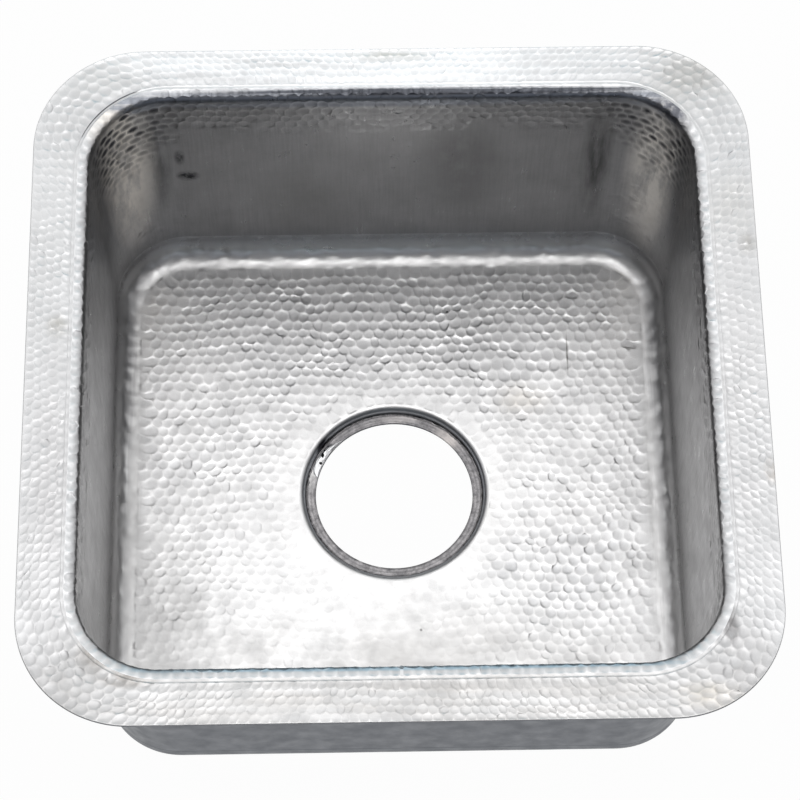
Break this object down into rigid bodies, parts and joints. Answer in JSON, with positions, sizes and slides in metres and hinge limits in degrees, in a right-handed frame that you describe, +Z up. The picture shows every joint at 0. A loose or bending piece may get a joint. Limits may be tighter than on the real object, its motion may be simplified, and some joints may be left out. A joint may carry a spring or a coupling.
{
  "type": "bar sink",
  "caption": "Square bar sink of hammered stainless sheet: flat rim, rolled lip, deep bowl with rounded corners and a recessed central drain hole.",
  "frame": {"origin": "under the middle of the drain, on the plane of the drain seat's underside, which is the sink's lowest", "axes": "+Z up out of the bowl, +X to the right and -Y towards the user at the front"},
  "size_m": [0.381, 0.381, 0.1717],
  "materials": {
    "hammered_sheet": "hand hammered inside and on the rim, satin outside",
    "ground_weld": "ground flush",
    "drain_plate": "turned, darkened by the heat of soldering",
    "solder": "as it ran, bright, with pinholes"
  },
  "bodies": {
    "root": {"rim_flange": "hammered_sheet", "rim_weld": "ground_weld", "bowl_wall": "hammered_sheet", "wall_seam_weld": "ground_weld", "floor_weld": "ground_weld", "floor_pan": "hammered_sheet", "drain_seat": "drain_plate", "drain_solder": "solder"}
  },
  "joints": []
}
